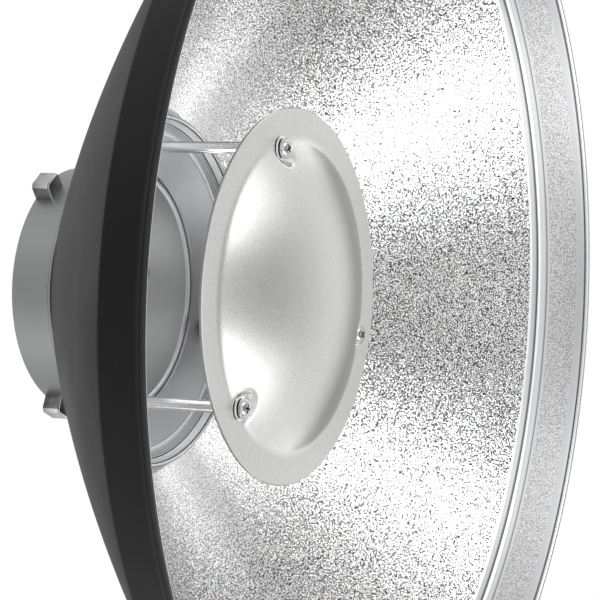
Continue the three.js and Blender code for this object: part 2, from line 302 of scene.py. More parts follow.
def polished_edge_highlight():
    """Bright rounded edges left by the lathe, with a trace of tool chatter; the near-white colour
    is partly polish and partly a painted highlight.
    """
    n = Finish("polished_edge_highlight")
    chatter = n.noise(700, 2.0)
    color = n.mix(chatter, (0.94, 0.945, 0.95), WHITE)
    rough = n.spread(chatter, 0.3, 0.7, 0.30, 0.42)
    return n.surface(color, 1.0, rough, n.bump(chatter, 0.00003, 0.4))


def groove_shadow():
    """Painted shade: near-black bottoms of turned grooves and screw recesses, standing in for the
    shade in them.
    """
    n = Finish("groove_shadow")
    shade_mottle = n.noise(500, 3.0, 0.6)
    color = n.mix(shade_mottle, (0.05, 0.05, 0.052), (0.12, 0.12, 0.12))
    rough = n.spread(shade_mottle, 0.3, 0.7, 0.4, 0.6)
    return n.surface(color, 0.8, rough, n.bump(shade_mottle, 0.00004, 0.4))


def frosted_silver():
    """The deflector's frosted satin finish: a very fine even texture."""
    n = Finish("frosted_silver")
    frost = n.noise(1300, 3.0, 0.65)
    cloudy = n.mix(n.noise(16, 3.0, 0.55), (0.76, 0.76, 0.745), (0.82, 0.82, 0.805))
    tint = n.mix(n.spread(frost, 0.35, 0.65), (0.85, 0.85, 0.85), WHITE)
    color = n.mix(1.0, cloudy, tint, "MULTIPLY")
    rough = n.spread(frost, 0.25, 0.75, 0.28, 0.34)
    return n.surface(color, 1.0, rough, n.bump(frost, 0.0001, 0.4))


def chrome(name, dark, light):
    """Bright plating with the faintest haze and ripple."""
    n = Finish(name)
    haze = n.noise(160, 3.0, 0.6)
    fine = n.noise(1900, 2.0)
    color = n.mix(haze, cool_grey(dark), cool_grey(light))
    rough = n.spread(haze, 0.3, 0.7, 0.03, 0.08)
    return n.surface(color, 1.0, rough, n.bump(fine, 0.00001, 0.3))


def lug_metal(name, dark, light):
    """Milled steel of the lugs: short scratches, and a colour darker where the mottle is low and
    lighter where high.
    """
    n = Finish(name)
    place = n.add("ShaderNodeMapping", {"Vector": n.place, "Scale": (1.0, 0.25, 1.0)}).outputs[0]
    scratch = n.noise(2400, 3.0, 0.7, place)
    mottle = n.noise(420, 4.0, 0.65)
    color = n.mix(n.spread(mottle, 0.3, 0.7), cool_grey(dark), cool_grey(light))
    gloss = n.spread(mottle, 0.3, 0.7, 0.42, 0.28)
    rough = n.maths("ADD", gloss, n.spread(scratch, 0, 1, -0.05, 0.05))
    rubbed = n.bump(scratch, 0.00005, 0.5)
    return n.surface(color, 1.0, rough, n.bump(mottle, 0.0001, 0.4, rubbed))


def zinc_plate():
    """Zinc-plated fasteners with a cloudy, slightly uneven sheen."""
    n = Finish("zinc_plate")
    cloud = n.noise(380, 4.0, 0.6)
    fine = n.noise(2600, 2.0)
    color = n.mix(n.spread(cloud, 0.3, 0.7), (0.50, 0.51, 0.53), (0.68, 0.685, 0.69))
    rough = n.spread(cloud, 0.3, 0.7, 0.20, 0.34)
    return n.surface(color, 1.0, rough, n.bump(fine, 0.00003, 0.4))


def pale_floor():
    n = Finish("pale_floor")
    color = n.mix(n.noise(3, 2.0), (0.80, 0.80, 0.80), (0.84, 0.84, 0.84))
    return n.surface(color, 0.0, 0.7)


BLACK = black_paint()
# Each grain darkens its dimple edges as painted shade, nearly black in the bowl and grey in the
# band.
GRAINED = grained_silver("grained_silver", tilt=0.18, crest_painted_shade=0.05)
BAND_GRAINED = grained_silver("grained_silver_band", tilt=0.08, crest_painted_shade=0.5)
BURNISHED = smooth_silver()
COLLAR_METAL = satin_aluminium()
RING_METAL = turned_aluminium()
# Polished edges whose near-white colour is partly a painted highlight.
EDGE = polished_edge_highlight()
# Painted shade for the bottoms of grooves and recesses.
GROOVE = groove_shadow()
FROSTED = frosted_silver()
CHROME = chrome("chrome", dark=0.90, light=0.97)
# Painted shade: a darker copy of the chrome for the screw heads.
SCREW_CHROME_SHADED = chrome("screw_chrome_painted_shade", dark=0.52, light=0.70)
# Lit and shaded copies of the lug steel: the lighter is painted light on the outer faces, the
# darker painted shade on the sides.
LUG_LIT_STEEL = lug_metal("lug_steel_painted_light", dark=0.74, light=0.98)
LUG_SHADED_STEEL = lug_metal("lug_steel_painted_shade", dark=0.18, light=0.34)
ZINC = zinc_plate()
FLOOR_COAT = pale_floor()


# ---------------------------------------------------------------- mesh building

def ring(bm, radius, steps, station_at):
    """A ring of vertices about Y. station_at gives the station of a point from its x and z."""
    verts = []
    for k in range(steps):
        angle = 2 * math.pi * k / steps
        x, z = radius * math.cos(angle), radius * math.sin(angle)
        verts.append(bm.verts.new((x * MM, -station_at(x, z) * MM, z * MM)))
    return verts


def spun(outline, steps, looped=True):
    """A closed solid turned about Y. outline holds (radius, station, material index) rows, and the
    index is that of the strip from this point to the next. A point on the axis is one vertex."""
    bm = bmesh.new()
    rings = []
    for radius, station, _ in outline:
        if radius == 0:
            rings.append([bm.verts.new((0, -station * MM, 0))])
        else:
            rings.append(ring(bm, radius, steps, lambda x, z: station))
    last = len(outline) if looped else len(outline) - 1
    for i in range(last):
        here, there = rings[i], rings[(i + 1) % len(rings)]
        for k in range(steps):
            corners = [here[k % len(here)], here[(k + 1) % len(here)],
                       there[(k + 1) % len(there)], there[k % len(there)]]
            unique = list(dict.fromkeys(corners))
            if len(unique) > 2:
                bm.faces.new(unique).material_index = outline[i][2]
    bmesh.ops.recalc_face_normals(bm, faces=bm.faces)
    return bm


def plain(points, index=0):
    """Outline rows that all take one material."""
    return [(radius, station, index) for radius, station in points]


def to_object(bm, name, materials):
    """Turns a bmesh into an object in the scene, and uses it up."""
    mesh = bpy.data.meshes.new(name)
    bm.to_mesh(mesh)
    bm.free()
    for material in materials:
        mesh.materials.append(material)
    thing = bpy.data.objects.new(name, mesh)
    bpy.context.scene.collection.objects.link(thing)
    return thing


def turned(name, section, materials, steps=SMALL_STEPS, looped=False):
    """A turned object from (radius, station) points. Unless looped, they start and end on the
    axis."""
    return to_object(spun(plain(section), steps, looped), name, materials)


def at_rod(thing, centre):
    """Carries a piece modelled on the dish's axis to a rod's axis."""
    thing.data.transform(Matrix.Translation((centre.x * MM, 0, centre.z * MM)))
    return thing


def turned_about_axis(thing, angle):
    """Carries a piece modelled on the +X side round to its clock angle."""
    thing.data.transform(Matrix.Rotation(-angle, 4, "Y"))
    return thing


def shaded(thing):
    """Smooth shading that stays crisp along sharp edges."""
    bm = bmesh.new()
    bm.from_mesh(thing.data)
    for face in bm.faces:
        face.smooth = True
    for edge in bm.edges:
        if len(edge.link_faces) == 2:
            edge.smooth = edge.calc_face_angle(0) < SHARP
    bm.to_mesh(thing.data)
    bm.free()


def bake_modifiers(thing):
    """Replaces an object's mesh with what its modifiers make of it."""
    bpy.context.view_layer.update()
    evaluated = thing.evaluated_get(bpy.context.evaluated_depsgraph_get())
    mesh = bpy.data.meshes.new_from_object(evaluated)
    thing.modifiers.clear()
    old = thing.data
    thing.data = mesh
    bpy.data.meshes.remove(old)
    mesh.name = thing.name


def combine(thing, others, operation):
    """Adds the other solids to a solid, cuts them from it or keeps what they share with it. The
    others are used up."""
    for other in others:
        modifier = thing.modifiers.new("shape", "BOOLEAN")
        modifier.object = other
        modifier.operation = operation
        modifier.solver = "EXACT"
    bake_modifiers(thing)
    for other in others:
        mesh = other.data
        bpy.data.objects.remove(other)
        bpy.data.meshes.remove(mesh)


def bevelled(thing, width):
    modifier = thing.modifiers.new("bevel", "BEVEL")
    modifier.width = width * MM
    modifier.segments = 2
    modifier.limit_method = "ANGLE"
    modifier.angle_limit = BEVEL_FROM
    bake_modifiers(thing)


def finished(thing, body, slot, *nodes):
    """Puts a finished piece on its body, in place of its CAD nodes."""
    shaded(thing)
    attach(thing, body)
    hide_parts(*nodes)


def along_arc(centre, radius, start, end, steps):
    """Points (radius, station) of an arc, in degrees from the radial direction forward."""
    points = []
    for i in range(steps + 1):
        angle = math.radians(start + (end - start) * i / steps)
        points.append((centre[0] + radius * math.cos(angle), centre[1] + radius * math.sin(angle)))
    return points


# A rounded corner takes up less than half of each of its two sides.
LONGEST_REACH = 0.45


def rounded(points, radius, steps):
    """An open path with its inner corners rounded to about the given radius."""
    path = [points[0]]
    for i in range(1, len(points) - 1):
        corner = Vector(points[i])
        before, after = Vector(points[i - 1]) - corner, Vector(points[i + 1]) - corner
        reach = min(radius, before.length * LONGEST_REACH, after.length * LONGEST_REACH)
        start = corner + before.normalized() * reach
        end = corner + after.normalized() * reach
        for k in range(steps + 1):
            t = k / steps
            point = (1 - t) ** 2 * start + 2 * t * (1 - t) * corner + t ** 2 * end
            path.append((point.x, point.y))
    path.append(points[-1])
    return path


# ---------------------------------------------------------------- spun dish

# The bowl's outside is one cubic curve. A slope is radius gained per millimetre forward, and each
# handle of the curve reaches HANDLE millimetres forward or back.
NECK = Vector((52.3, 19.8))
BOWL_EDGE = Vector((196.2, 129.6))
NECK_SLOPE = 1.58
EDGE_SLOPE = 1.03
HANDLE = 36
BOWL_STEPS = 56
# The rim band, as (radius, station) points: its outside, the turned steps inside it and the lip.
BAND_END = (207.8, 150.4)
RIM_STEPS = [(196, 131.5), (197, 134.4), (198, 135.3), (199, 137.2), (199.6, 138.5)]
BAND_INSIDE_END = (206.0, 150.1)
LIP_END = (206.9, 153.6)
CREASE_ROUNDING = 1.0
STEP_ROUNDING = 0.5
# The rolled hem's section is an arc, in degrees. The paint ends at PAINT_EDGE.
HEM_RADIUS = 1.35
HEM_START = -60
PAINT_EDGE = 96
HEM_END = 190
# The material indices of the dish. BURNISH carries the rim's painted light and shade.
PAINTED, GRAIN, BURNISH, BAND_GRAIN = range(4)


def bowl_curve():
    """The bowl's outside, from the neck to the rim band, as (point, forward tangent) pairs."""
    controls = [NECK, NECK + HANDLE * Vector((NECK_SLOPE, 1)),
                BOWL_EDGE - HANDLE * Vector((EDGE_SLOPE, 1)), BOWL_EDGE]
    pairs = []
    for i in range(BOWL_STEPS + 1):
        t = i / BOWL_STEPS
        weights = ((1 - t) ** 3, 3 * (1 - t) ** 2 * t, 3 * (1 - t) * t ** 2, t ** 3)
        slopes = (-3 * (1 - t) ** 2, 3 * (1 - t) * (1 - 3 * t), 3 * t * (2 - 3 * t), 3 * t ** 2)
        point = sum((w * c for w, c in zip(weights, controls)), Vector((0, 0)))
        tangent = sum((w * c for w, c in zip(slopes, controls)), Vector((0, 0)))
        pairs.append((point, tangent.normalized()))
    return pairs


def inside_bowl(gap):
    """The bowl's outside moved inwards by a gap, as points."""
    return [p + gap * Vector((-t.y, t.x)) for p, t in bowl_curve()]


def dish():
    outer_bowl = [tuple(point) for point, _ in bowl_curve()]
    inner_bowl = [tuple(point) for point in inside_bowl(SHEET)]
    crease = rounded([outer_bowl[-2], outer_bowl[-1], BAND_END], CREASE_ROUNDING, steps=4)
    hem = (RIM_RADIUS - HEM_RADIUS, RIM_STATION - HEM_RADIUS)
    hem_outer = along_arc(hem, HEM_RADIUS, HEM_START, PAINT_EDGE, steps=16)
    hem_inner = along_arc(hem, HEM_RADIUS, PAINT_EDGE, HEM_END, steps=8)
    steps = rounded([inner_bowl[-1], *RIM_STEPS, BAND_INSIDE_END], STEP_ROUNDING, steps=3)
    inward = list(reversed(steps))[:-1]
    rows = plain(outer_bowl[:-1] + crease[1:] + hem_outer[:-1], PAINTED)
    rows += plain([*hem_inner, LIP_END], BURNISH)
    # The first of the points that lead back inwards starts the whole width of the band.
    rows += plain(inward[:1], BAND_GRAIN) + plain(inward[1:], BURNISH)
    rows += plain(reversed(inner_bowl), GRAIN)
    materials = [BLACK, GRAINED, BURNISHED, BAND_GRAINED]
    shell = to_object(spun(rows, DISH_STEPS), "spun_dish", materials)
    finished(shell, "reflector", "dish_paint", "dish_shell")


# ---------------------------------------------------------------- collar and lugs

# The material indices of the collar and of the clamp ring. BRIGHT is partly a painted highlight,
# and DARK is painted shade.
TURNED, BRIGHT, DARK = range(3)
COLLAR_BORE = 48.5
COLLAR_RADIUS = 51
COLLAR_CHAMFER = 0.45
SHOULDER_RADIUS = 52.5
SHOULDER_FRONT = 19.5
LUG_WIDTH = 10.4
LUG_TOP = 57.7
LUG_STATIONS = (0.5, 8.5)
LUG_MIDDLE = sum(LUG_STATIONS) / 2
LUG_SUNK = 3
LUG_CHAMFER = 1.4
LUG_FRONT_ROUNDING = 0.5
LUG_EDGE_BEVEL = 0.25
LUG_SEAT_GAP = 0.06
LUG_SEAT_STATIONS = (-2, 12)
LUG_SCREW_FACE = 48.6
LUG_SCREW_END = 55.5
LUG_SCREW_RADIUS = 1.6
LUG_SCREW_HEAD = 3
LUG_SCREW_CONE = 1.5
LUG_HOLE_CLEARANCE = 0.2
# Depth, length and width of a cross recess.
LUG_RECESS = (1.2, 3.4, 0.8)
PAN_RECESS = (1.5, 4.6, 1.05)
# How much of a recess's length and width is left at its bottom.
RECESS_TAPER = (0.45, 0.7)
RECESS_OVERRUN = 0.6
# A hair's breadth, for comparisons and for cutters that reach just past a face.
NEAR = 0.01


def radial_screw(name, clearance, material):
    """A countersunk screw along +X, or the cutter for its hole when given a clearance."""
    face = LUG_SCREW_FACE - clearance
    neck = LUG_SCREW_FACE + LUG_SCREW_CONE
    end = LUG_SCREW_END + clearance
    shank = LUG_SCREW_RADIUS + clearance
    head = LUG_SCREW_HEAD + clearance
    screw = turned(name, [(0, face), (head, face), (shank, neck), (shank, end), (0, end)],
                   [material])
    # The section runs along -Y: turn that direction to +X and move it to the lug's middle.
    screw.data.transform(Matrix.Rotation(math.pi / 2, 4, "Z"))
    screw.data.transform(Matrix.Translation((0, -LUG_MIDDLE * MM, 0)))
    return screw


def cross_recess(face, depth, length, width, material):
    """Two tapered bars that cut a cross recess into a head that faces -Y at a station. The recess
    takes the head's second material, which is the groove's painted shade."""
    bars = []
    half, thin = length / 2, width / 2
    mouth = [(-half, thin), (half, thin), (half, -thin), (-half, -thin)]
    bottom = [(x * RECESS_TAPER[0], z * RECESS_TAPER[1]) for x, z in mouth]
    for turn in range(2):
        bm = bmesh.new()
        upper = [bm.verts.new((x * MM, -(face + RECESS_OVERRUN) * MM, z * MM)) for x, z in mouth]
        lower = [bm.verts.new((x * MM, -(face - depth) * MM, z * MM)) for x, z in bottom]
        bm.faces.new(upper)
        bm.faces.new(list(reversed(lower)))
        for k in range(4):
            bm.faces.new([upper[k], lower[k], lower[(k + 1) % 4], upper[(k + 1) % 4]])
        bmesh.ops.recalc_face_normals(bm, faces=bm.faces)
        for side in bm.faces:
            side.material_index = 1
        bar = to_object(bm, f"recess_{turn}", [material, GROOVE])
        bar.data.transform(Matrix.Rotation(turn * math.pi / 2, 4, "Y"))
        bars.append(bar)
    return bars


def collar():
    body = [
        (COLLAR_BORE + COLLAR_CHAMFER, 0), (COLLAR_RADIUS - COLLAR_CHAMFER, 0),
        (COLLAR_RADIUS, COLLAR_CHAMFER), (COLLAR_RADIUS, SHOULDER_FRONT - 1.5),
        (SHOULDER_RADIUS - 0.35, SHOULDER_FRONT - 1.4), (SHOULDER_RADIUS, SHOULDER_FRONT - 1.0),
        (SHOULDER_RADIUS, SHOULDER_FRONT), (COLLAR_RADIUS, SHOULDER_FRONT),
        (COLLAR_RADIUS, COLLAR_FRONT - 0.3), (COLLAR_RADIUS - 0.3, COLLAR_FRONT),
    ]
    bore_edge = [(COLLAR_BORE + 1.1, COLLAR_FRONT), (COLLAR_BORE + 0.5, COLLAR_FRONT - 0.12),
                 (COLLAR_BORE + 0.15, COLLAR_FRONT - 0.45)]
    bore = [(COLLAR_BORE, COLLAR_FRONT - 1.0), (COLLAR_BORE, COLLAR_CHAMFER)]
    rows = plain(body) + plain(bore_edge, BRIGHT) + plain(bore)
    tube = to_object(spun(rows, RING_STEPS), "mount_collar_turned", [COLLAR_METAL, EDGE])
    holes = []
    for angle in LUG_ANGLES:
        cutter = radial_screw("hole", LUG_HOLE_CLEARANCE, COLLAR_METAL)
        holes.append(turned_about_axis(cutter, angle))
    combine(tube, holes, "DIFFERENCE")
    finished(tube, "reflector", "satin_aluminium", "mount_collar")


def lug(number, angle):
    """A block whose outer face takes a painted-light copy of the steel and its other faces a
    painted-shade copy, with polished front edges.
    """
    shaded_side_index, lit_top_index, polished_index = range(3)
    rear, front = LUG_STATIONS
    half = LUG_WIDTH / 2
    low = Vector((COLLAR_RADIUS - LUG_SUNK, -front, -half))
    high = Vector((LUG_TOP, -rear, half))
    bm = bmesh.new()
    bmesh.ops.create_cube(bm, size=1)
    bmesh.ops.scale(bm, vec=(high - low) * MM, verts=bm.verts)
    bmesh.ops.translate(bm, vec=(high + low) / 2 * MM, verts=bm.verts)
    bm.normal_update()
    top_edges = [e for e in bm.edges if all(v.co.x > (LUG_TOP - NEAR) * MM for v in e.verts)]
    side_edges = [e for e in top_edges if abs(e.verts[0].co.y - e.verts[1].co.y) > MM]
    bmesh.ops.bevel(bm, geom=side_edges, offset=LUG_CHAMFER * MM, segments=1, affect="EDGES")
    bm.normal_update()
    for face in bm.faces:
        # The outer face takes the painted-light copy, every other face the painted-shade copy.
        face.material_index = lit_top_index if face.normal.x > 0.5 else shaded_side_index
    front_edges = [e for e in bm.edges if all(v.co.y < -(front - NEAR) * MM for v in e.verts)]
    bmesh.ops.bevel(bm, geom=front_edges, offset=LUG_FRONT_ROUNDING * MM, segments=3,
                    affect="EDGES", material=polished_index)
    block = to_object(bm, f"bayonet_lug_block_{number}", [LUG_SHADED_STEEL, LUG_LIT_STEEL, EDGE])
    bevelled(block, LUG_EDGE_BEVEL)
    radius = COLLAR_RADIUS + LUG_SEAT_GAP
    back, ahead = LUG_SEAT_STATIONS
    seat = turned("seat", [(0, back), (radius, back), (radius, ahead), (0, ahead)],
                  [LUG_SHADED_STEEL], steps=RING_STEPS * 2)
    hole = radial_screw("hole", LUG_HOLE_CLEARANCE, LUG_SHADED_STEEL)
    combine(block, [seat, hole], "DIFFERENCE")
    turned_about_axis(block, angle)
    finished(block, "reflector", "lug_steel", f"bayonet_lug_{number}")


def lug_screw(number, angle):
    screw = radial_screw(f"lug_countersunk_screw_{number}", 0, ZINC)
    # The recess takes the groove's painted shade.
    screw.data.materials.append(GROOVE)
    bars = cross_recess(0, *LUG_RECESS, ZINC)
    for bar in bars:
        # The recess is modelled facing -Y: turn it to face the axis from the +X side.
        bar.data.transform(Matrix.Rotation(-math.pi / 2, 4, "Z"))
        bar.data.transform(Matrix.Translation((LUG_SCREW_FACE * MM, -LUG_MIDDLE * MM, 0)))
    combine(screw, bars, "DIFFERENCE")
    turned_about_axis(screw, angle)
    finished(screw, "reflector", "plated_steel", f"lug_screw_{number}")


# ---------------------------------------------------------------- clamp ring

RING_BORE = COLLAR_RADIUS + 0.25
FACE_OUTER = (67.5, 34.6)
FACE_INNER = (51.7, 28.0)
FACE_EDGE_DROP = 0.7
BEAD_RADIUS = 0.8
BAND_INNER = Vector((FACE_OUTER[0] + 0.9, FACE_OUTER[1] + 0.6))
BAND_OUTER = Vector((LIP_RADIUS - 3.4, LIP_STATION - 3.9))
BAND_GROOVES = 3
# One turned groove and the land beside it: the share of the pitch where each strip starts, its
# depth, and the strip's material. The DARK strip, on the way down into the groove, is painted
# shade, and the BRIGHT strip before it is partly a painted highlight.
GROOVE_PROFILE = ((0.0, 0.0, TURNED), (0.62, 0.0, BRIGHT), (0.78, 0.05, DARK), (0.88, 0.3, TURNED))
# The wall from the band's end up to the lip, and the lip, as offsets from the ring's outermost
# radius and station. The DARK strips paint thin lines of shade at the wall's foot, partway up and
# on the lip's top, and the BRIGHT strips are partly painted highlights.
LIP_PROFILE = (
    (-3.4, -3.9, DARK), (-3.1, -3.7, BRIGHT), (-1.8, -1.0, DARK), (-1.5, -0.5, BRIGHT),
    (-0.95, 0.0, BRIGHT), (-0.5, -0.05, DARK), (-0.15, -0.3, BRIGHT), (0.0, -0.8, BRIGHT),
)
RING_SEAT_GAP = 0.35
SEAT_RADII = (LIP_RADIUS, 64, 58, RING_BORE)
ROD_RADIUS = 2.5
ROD_CLEARANCE = 0.12
BOSS_RADIUS = 5
BOSS_STATIONS = (33.2, 37)
BOSS_CHAMFER = 0.4
BOSS_HOLE_STATIONS = (32.8, 60)


def seat_station(radius):
    """Where the clamp ring's back sits just ahead of the bowl's inside."""
    path = inside_bowl(SHEET + RING_SEAT_GAP)
    for a, b in zip(path, path[1:]):
        if b.x >= radius:
            return a.y + (radius - a.x) * (b.y - a.y) / (b.x - a.x)
    return path[-1].y


def clamp_ring():
    rows = plain([(RING_BORE, FACE_INNER[1] - FACE_EDGE_DROP), FACE_INNER])
    rows += plain(along_arc(FACE_OUTER, BEAD_RADIUS, 190, 20, steps=7), BRIGHT)
    for i in range(BAND_GROOVES):
        for share, depth, index in GROOVE_PROFILE:
            point = BAND_INNER + (BAND_OUTER - BAND_INNER) * ((i + share) / BAND_GROOVES)
            rows.append((point.x, point.y - depth, index))
    rows += [(LIP_RADIUS + out, LIP_STATION + ahead, index) for out, ahead, index in LIP_PROFILE]
    rows += plain([(radius, seat_station(radius)) for radius in SEAT_RADII])
    body = to_object(spun(rows, RING_STEPS), "clamp_ring_turned", [RING_METAL, EDGE, GROOVE])
    foot, top = BOSS_STATIONS
    post = [(0, foot), (BOSS_RADIUS, foot), (BOSS_RADIUS, top - BOSS_CHAMFER),
            (BOSS_RADIUS - BOSS_CHAMFER, top), (0, top)]
    bore = ROD_RADIUS + ROD_CLEARANCE
    rear, front = BOSS_HOLE_STATIONS
    hole = [(0, rear), (bore, rear), (bore, front), (0, front)]
    bosses = [at_rod(turned("boss", post, [RING_METAL]), centre) for centre in ROD_CENTRES]
    holes = [at_rod(turned("hole", hole, [RING_METAL]), centre) for centre in ROD_CENTRES]
    combine(body, bosses, "UNION")
    combine(body, holes, "DIFFERENCE")
    finished(body, "reflector", "turned_aluminium", "clamp_ring")


# ---------------------------------------------------------------- deflector

DOME_RADIUS = 64.6
DOME_HEIGHT = DOME_TOP - FLANGE_FRONT
SPHERE = (DOME_RADIUS ** 2 + DOME_HEIGHT ** 2) / (2 * DOME_HEIGHT)
PAD_RADIUS = 4.8
PAD_BLEND = 3.0
# The fillet at the dome's edge: its width, how fast it fades and how far it lifts the surface.
EDGE_BLEND = 2.2
BLEND_FADE = 2.2
BLEND_LIFT = 0.11
FLANGE_EDGE = 0.35
DEFLECTOR_TURNS = 288
DEFLECTOR_HOLE = 2
DEFLECTOR_HOLE_STATIONS = (98, 108)
# Ring radii of the deflector's mesh, closer together at the dome's edge and the screws.
DEFLECTOR_RADII = (
    *(3.0 * k for k in range(1, 18)),
    *(54 + 0.75 * k for k in range(20)),
    69.4, 71, 73, 75, 76.4, DEFLECTOR_RADIUS - FLANGE_EDGE,
)


def ease(value):
    value = min(max(value, 0.0), 1.0)
    return value * value * (3 - 2 * value)


def dome_height(x, z):
    """Height of the pressed dome above the flange, flattened under each screw."""
    radius = math.hypot(x, z)
    if radius > DOME_RADIUS + EDGE_BLEND / 2:
        return 0.0
    cap = math.sqrt(SPHERE ** 2 - radius ** 2) - (SPHERE - DOME_HEIGHT)
    # A quadratic smooth maximum turns the crease at the dome's edge into a small fillet.
    blend = max(0.0, 1 - abs(cap) / EDGE_BLEND * BLEND_FADE)
    height = max(cap, 0.0) + blend ** 2 * EDGE_BLEND * BLEND_LIFT
    for centre in ROD_CENTRES:
        reach = math.hypot(x - centre.x, z - centre.z)
        height *= ease((reach - PAD_RADIUS) / PAD_BLEND)
    return height


def deflector():
    """A sheet in three runs of rings: the front from the middle out, the edge, and the rear."""
    bm = bmesh.new()
    centres, faces = [], []
    for level in (FLANGE_FRONT, FLANGE_REAR):
        centres.append(bm.verts.new((0, -(level + dome_height(0, 0)) * MM, 0)))
        faces.append([ring(bm, radius, DEFLECTOR_TURNS, lambda x, z: level + dome_height(x, z))
                      for radius in DEFLECTOR_RADII])
    edge = [ring(bm, DEFLECTOR_RADIUS, DEFLECTOR_TURNS, lambda x, z: station)
            for station in (FLANGE_FRONT - FLANGE_EDGE, FLANGE_REAR + FLANGE_EDGE)]
    for centre, rings in zip(centres, faces):
        for k in range(DEFLECTOR_TURNS):
            bm.faces.new((centre, rings[0][k], rings[0][(k + 1) % DEFLECTOR_TURNS]))
    front, rear = faces
    path = [*front, *edge, *reversed(rear)]
    for a, b in zip(path, path[1:]):
        for k in range(DEFLECTOR_TURNS):
            j = (k + 1) % DEFLECTOR_TURNS
            bm.faces.new((a[k], a[j], b[j], b[k]))
    bmesh.ops.recalc_face_normals(bm, faces=bm.faces)
    disc = to_object(bm, "deflector_pressed", [FROSTED])
    behind, ahead = DEFLECTOR_HOLE_STATIONS
    hole = [(0, behind), (DEFLECTOR_HOLE, behind), (DEFLECTOR_HOLE, ahead), (0, ahead)]
    holes = [at_rod(turned("hole", hole, [FROSTED]), centre) for centre in ROD_CENTRES]
    combine(disc, holes, "DIFFERENCE")
    finished(disc, "deflector_set", "frosted_silver", "deflector")


# ---------------------------------------------------------------- rods, nuts, washers, screws

ROD_BORE = 1.7
ROD_BORE_DEPTH = 11
NUT_FLATS = 8
NUT_CHAMFER_SHARE = 0.6
NUT_COUNTERSINK = 0.9
WASHER_RADIUS = 5
WASHER_HOLE = 1.9
WASHER_ROUNDING = 0.14
HEAD_HEIGHT = 2.5
# The pan head's section: radius and height above its seat.
PAN_HEAD = ((3.95, 0.0), (4.2, 0.3), (4.2, 0.75), (4.074, 1.15), (3.696, 1.6), (3.108, 2.0),
            (2.31, 2.3), (1.344, 2.46), (0, HEAD_HEIGHT))
SHANK = 1.3
THREAD_ROOT = 1.1
THREAD_PITCH = 0.5
THREAD_START = 0.4
THREAD_RUNOUT = 1.4
# How far along each pitch the thread's crest stands.
CREST_SHARE = 0.45
# Where each screw came to rest when tightened, in degrees.
SCREW_TURNS = (64, 105, 146)


def rod(number, centre):
    foot, end = stations(f"deflector_rod_{number}")
    bottom = end - ROD_BORE_DEPTH
    section = [(0, foot), (ROD_RADIUS - 0.4, foot), (ROD_RADIUS, foot + 0.4),
               (ROD_RADIUS, end - 0.35), (ROD_RADIUS - 0.1, end - 0.12), (ROD_RADIUS - 0.3, end),
               (ROD_BORE + 0.25, end), (ROD_BORE, end - 0.25), (ROD_BORE, bottom), (0, bottom)]
    bar = turned(f"deflector_rod_bar_{number}", section, [CHROME])
    finished(at_rod(bar, centre), "reflector", "chrome", f"deflector_rod_{number}")


def nut(number, centre):
    rear, front = stations(f"rod_nut_{number}")
    corner = NUT_FLATS / math.sqrt(3)
    flat = NUT_FLATS / 2
    hexagon = turned(f"rod_lock_nut_{number}",
                     [(0, rear), (corner, rear), (corner, front), (0, front)], [ZINC], steps=6)
    # The corners are turned off by a double cone, as on a real nut.
    drop = (corner - flat) * NUT_CHAMFER_SHARE
    wide = corner + NEAR
    cone = turned("cone", [(0, rear), (flat, rear), (wide, rear + drop), (wide, front - drop),
                           (flat, front), (0, front)], [ZINC])
    combine(hexagon, [cone], "INTERSECT")
    bore = ROD_RADIUS + ROD_CLEARANCE
    mouth = bore + NUT_COUNTERSINK
    hole = turned("hole", [(0, rear - 1), (mouth, rear - NEAR), (bore, rear + 0.5),
                           (bore, front - 0.5), (mouth, front + NEAR), (0, front + 1)], [ZINC])
    combine(hexagon, [hole], "DIFFERENCE")
    finished(at_rod(hexagon, centre), "reflector", "plated_steel", f"rod_nut_{number}")


def washer(kind, number, centre, material, slot):
    rear, front = stations(f"{kind}_washer_{number}")
    soft = WASHER_ROUNDING
    section = [(WASHER_HOLE, rear), (WASHER_RADIUS - soft, rear), (WASHER_RADIUS, rear + soft),
               (WASHER_RADIUS, front - soft), (WASHER_RADIUS - soft, front),
               (WASHER_HOLE + soft, front), (WASHER_HOLE, front - soft)]
    disc = turned(f"{kind}_washer_ring_{number}", section, [material], looped=True)
    finished(at_rod(disc, centre), "deflector_set", slot, f"{kind}_washer_{number}")


def threaded_screw(number, centre):
    tip, top = stations(f"deflector_screw_{number}")
    seat = top - HEAD_HEIGHT
    first = tip + THREAD_START
    section = [(0, tip), (SHANK - 0.35, tip), (SHANK - 0.1, tip + 0.3)]
    for k in range(int((seat - THREAD_RUNOUT - first) / THREAD_PITCH)):
        start = first + k * THREAD_PITCH
        section += [(THREAD_ROOT, start), (SHANK, start + THREAD_PITCH * CREST_SHARE)]
    section += [(THREAD_ROOT, seat - 1.2), (SHANK, seat - 1.0), (SHANK, seat)]
    section += [(radius, seat + rise) for radius, rise in PAN_HEAD]
    # The head takes the darker chrome as painted shade, its recess the groove's painted shade.
    screw = turned(f"deflector_pan_screw_{number}", section, [SCREW_CHROME_SHADED, GROOVE])
    combine(screw, cross_recess(top, *PAN_RECESS, SCREW_CHROME_SHADED), "DIFFERENCE")
    turn = math.radians(SCREW_TURNS[number - 1])
    screw.data.transform(Matrix.Rotation(turn, 4, "Y"))
    finished(at_rod(screw, centre), f"screw_{number}", "chrome", f"deflector_screw_{number}")


# ---------------------------------------------------------------- floor, light and camera

# These are all in metres and degrees.
FLOOR_LEVEL = -1.15
FLOOR_RADIUS = 1.6
